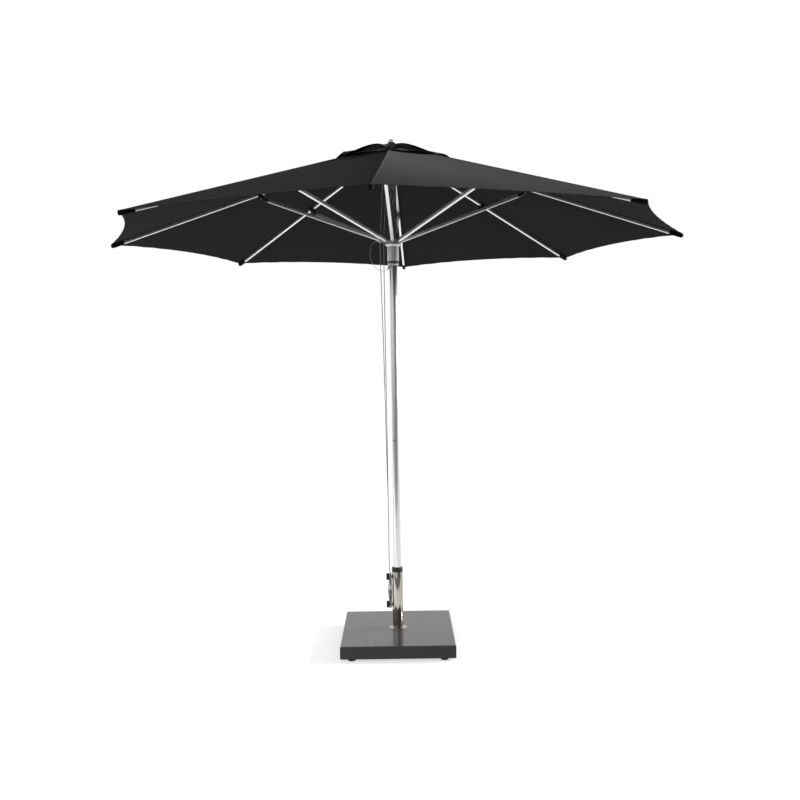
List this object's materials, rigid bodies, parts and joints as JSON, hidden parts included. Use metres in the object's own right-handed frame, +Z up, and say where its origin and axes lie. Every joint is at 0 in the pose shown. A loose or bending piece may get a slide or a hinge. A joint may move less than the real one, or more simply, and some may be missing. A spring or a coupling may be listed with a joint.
{
  "type": "patio umbrella with base",
  "caption": "Round garden parasol with folding ribs on a halyard, a vented canopy, and a mast clamped in a square granite base.",
  "frame": {"origin": "on the floor under the middle of the mast", "axes": "+Z up along the mast; the clamp knobs stand on the -X side; a side of the square base faces -Y"},
  "size_m": [2.937, 2.937, 2.606],
  "materials": {
    "granite": "polished",
    "rubber": "matte",
    "stainless": "polished",
    "mast_aluminium": "satin",
    "frame_aluminium": "satin",
    "cast_aluminium": "satin",
    "black_plastic": "satin",
    "zinc_steel": "satin",
    "canopy_cloth": "matte",
    "cord": "matte",
    "wire": "satin"
  },
  "bodies": {
    "base": {"granite_slab": "granite", "foot_1": "rubber", "foot_2": "rubber", "foot_3": "rubber", "foot_4": "rubber", "base_flange": "stainless", "anchor_washer": "zinc_steel", "anchor_bolt": "zinc_steel", "base_tube": "stainless", "foot_bush": "black_plastic", "tube_collar": "black_plastic", "upper_boss": "zinc_steel", "lower_boss": "zinc_steel", "halyard_winding": "cord"},
    "mast_foot": {"mast_foot_plug": "black_plastic"},
    "mast": {"mast_tube": "mast_aluminium", "finial": "cast_aluminium", "top_hub": "cast_aluminium", "hub_pivot_ring": "zinc_steel", "sheave_axle": "zinc_steel", "vent_cap": "canopy_cloth", "halyard_hauling_run": "cord", "halyard_return_run": "cord"},
    "top_sheave": {"top_sheave": "black_plastic"},
    "upper_knob": {"upper_knob": "black_plastic", "upper_knob_screw": "zinc_steel"},
    "lower_knob": {"lower_knob": "black_plastic", "lower_knob_screw": "zinc_steel"},
    "runner": {"runner": "cast_aluminium", "runner_band": "black_plastic", "runner_pivot_ring": "zinc_steel", "cord_guide": "cast_aluminium"},
    "lock_pin": {"lock_pin": "zinc_steel", "pin_lanyard": "wire"},
    "rib_1": {"rib_1": "frame_aluminium", "canopy_1": "canopy_cloth"},
    "strut_1": {"strut_1": "frame_aluminium"},
    "rib_2": {"rib_2": "frame_aluminium", "canopy_2": "canopy_cloth"},
    "strut_2": {"strut_2": "frame_aluminium"},
    "rib_3": {"rib_3": "frame_aluminium", "canopy_3": "canopy_cloth"},
    "strut_3": {"strut_3": "frame_aluminium"},
    "rib_4": {"rib_4": "frame_aluminium", "canopy_4": "canopy_cloth"},
    "strut_4": {"strut_4": "frame_aluminium"},
    "rib_5": {"rib_5": "frame_aluminium", "canopy_5": "canopy_cloth"},
    "strut_5": {"strut_5": "frame_aluminium"},
    "rib_6": {"rib_6": "frame_aluminium", "canopy_6": "canopy_cloth"},
    "strut_6": {"strut_6": "frame_aluminium"},
    "rib_7": {"rib_7": "frame_aluminium", "canopy_7": "canopy_cloth"},
    "strut_7": {"strut_7": "frame_aluminium"},
    "rib_8": {"rib_8": "frame_aluminium", "canopy_8": "canopy_cloth"},
    "strut_8": {"strut_8": "frame_aluminium"}
  },
  "joints": [
    {"name": "mast_lift", "type": "slide", "parent": "base", "child": "mast_foot", "axis": [0, 0, 1], "range_m": [0, 0.28], "deforming": ["halyard_hauling_run", "halyard_return_run", "halyard_winding"]},
    {"name": "mast_turn", "type": "hinge", "parent": "mast_foot", "child": "mast", "pos_m": [0, 0, 0.1], "axis": [0, 0, 1], "range_deg": [-90, 90]},
    {"name": "upper_knob_turn", "type": "hinge", "parent": "base", "child": "upper_knob", "pos_m": [-0.041, 0, 0.347], "axis": [-1, 0, 0], "range_deg": [0, 540]},
    {"name": "lower_knob_turn", "type": "hinge", "parent": "base", "child": "lower_knob", "pos_m": [-0.041, 0, 0.2], "axis": [-1, 0, 0], "range_deg": [0, 540]},
    {"name": "canopy_fold", "type": "hinge", "parent": "mast", "child": "rib_1", "pos_m": [-0.00159, -0.03496, 2.5528], "axis": [0.999, -0.0454, 0], "range_deg": [0, 70], "deforming": ["canopy_1", "canopy_2", "canopy_3", "canopy_4", "canopy_5", "canopy_6", "canopy_7", "canopy_8", "vent_cap", "pin_lanyard"]},
    {"name": "rib_2_fold", "type": "hinge", "parent": "mast", "child": "rib_2", "pos_m": [0.0236, -0.02585, 2.5528], "axis": [0.7385, 0.6743, 0], "range_deg": [0, 70]},
    {"name": "rib_3_fold", "type": "hinge", "parent": "mast", "child": "rib_3", "pos_m": [0.03496, -0.00159, 2.5528], "axis": [0.0454, 0.999, 0], "range_deg": [0, 70]},
    {"name": "rib_4_fold", "type": "hinge", "parent": "mast", "child": "rib_4", "pos_m": [0.02585, 0.0236, 2.5528], "axis": [-0.6743, 0.7385, 0], "range_deg": [0, 70]},
    {"name": "rib_5_fold", "type": "hinge", "parent": "mast", "child": "rib_5", "pos_m": [0.00159, 0.03496, 2.5528], "axis": [-0.999, 0.0454, 0], "range_deg": [0, 70]},
    {"name": "rib_6_fold", "type": "hinge", "parent": "mast", "child": "rib_6", "pos_m": [-0.0236, 0.02585, 2.5528], "axis": [-0.7385, -0.6743, 0], "range_deg": [0, 70]},
    {"name": "rib_7_fold", "type": "hinge", "parent": "mast", "child": "rib_7", "pos_m": [-0.03496, 0.00159, 2.5528], "axis": [-0.0454, -0.999, 0], "range_deg": [0, 70]},
    {"name": "rib_8_fold", "type": "hinge", "parent": "mast", "child": "rib_8", "pos_m": [-0.02585, -0.0236, 2.5528], "axis": [0.6743, -0.7385, 0], "range_deg": [0, 70]},
    {"name": "strut_1_fold", "type": "hinge", "parent": "rib_1", "child": "strut_1", "pos_m": [-0.03057, -0.6733, 2.32023], "axis": [0.999, -0.0454, 0], "range_deg": [-140, 0]},
    {"name": "strut_2_fold", "type": "hinge", "parent": "rib_2", "child": "strut_2", "pos_m": [0.45447, -0.49771, 2.32023], "axis": [0.7385, 0.6743, 0], "range_deg": [-140, 0]},
    {"name": "strut_3_fold", "type": "hinge", "parent": "rib_3", "child": "strut_3", "pos_m": [0.6733, -0.03057, 2.32023], "axis": [0.0454, 0.999, 0], "range_deg": [-140, 0]},
    {"name": "strut_4_fold", "type": "hinge", "parent": "rib_4", "child": "strut_4", "pos_m": [0.49771, 0.45447, 2.32023], "axis": [-0.6743, 0.7385, 0], "range_deg": [-140, 0]},
    {"name": "strut_5_fold", "type": "hinge", "parent": "rib_5", "child": "strut_5", "pos_m": [0.03057, 0.6733, 2.32023], "axis": [-0.999, 0.0454, 0], "range_deg": [-140, 0]},
    {"name": "strut_6_fold", "type": "hinge", "parent": "rib_6", "child": "strut_6", "pos_m": [-0.45447, 0.49771, 2.32023], "axis": [-0.7385, -0.6743, 0], "range_deg": [-140, 0]},
    {"name": "strut_7_fold", "type": "hinge", "parent": "rib_7", "child": "strut_7", "pos_m": [-0.6733, 0.03057, 2.32023], "axis": [-0.0454, -0.999, 0], "range_deg": [-140, 0]},
    {"name": "strut_8_fold", "type": "hinge", "parent": "rib_8", "child": "strut_8", "pos_m": [-0.49771, -0.45447, 2.32023], "axis": [0.6743, -0.7385, 0], "range_deg": [-140, 0]},
    {"name": "runner_level", "type": "hinge", "parent": "strut_1", "child": "runner", "pos_m": [-0.00159, -0.03496, 2.08765], "axis": [0.999, -0.0454, 0], "range_deg": [0, 70]},
    {"name": "sheave_spin", "type": "hinge", "parent": "mast", "child": "top_sheave", "pos_m": [-0.03479, -0.01259, 2.48], "axis": [0.3404, -0.9403, 0], "continuous": true},
    {"name": "pin_slide", "type": "slide", "parent": "runner", "child": "lock_pin", "axis": [-0.4242, -0.9056, 0], "range_m": [-0.008, 0.01], "deforming": ["pin_lanyard"]}
  ],
  "couplings": [
    {"joint": "rib_2_fold", "follows": "canopy_fold", "ratio": 1},
    {"joint": "rib_3_fold", "follows": "canopy_fold", "ratio": 1},
    {"joint": "rib_4_fold", "follows": "canopy_fold", "ratio": 1},
    {"joint": "rib_5_fold", "follows": "canopy_fold", "ratio": 1},
    {"joint": "rib_6_fold", "follows": "canopy_fold", "ratio": 1},
    {"joint": "rib_7_fold", "follows": "canopy_fold", "ratio": 1},
    {"joint": "rib_8_fold", "follows": "canopy_fold", "ratio": 1},
    {"joint": "strut_1_fold", "follows": "canopy_fold", "ratio": -2},
    {"joint": "strut_2_fold", "follows": "canopy_fold", "ratio": -2},
    {"joint": "strut_3_fold", "follows": "canopy_fold", "ratio": -2},
    {"joint": "strut_4_fold", "follows": "canopy_fold", "ratio": -2},
    {"joint": "strut_5_fold", "follows": "canopy_fold", "ratio": -2},
    {"joint": "strut_6_fold", "follows": "canopy_fold", "ratio": -2},
    {"joint": "strut_7_fold", "follows": "canopy_fold", "ratio": -2},
    {"joint": "strut_8_fold", "follows": "canopy_fold", "ratio": -2},
    {"joint": "runner_level", "follows": "canopy_fold", "ratio": 1}
  ]
}
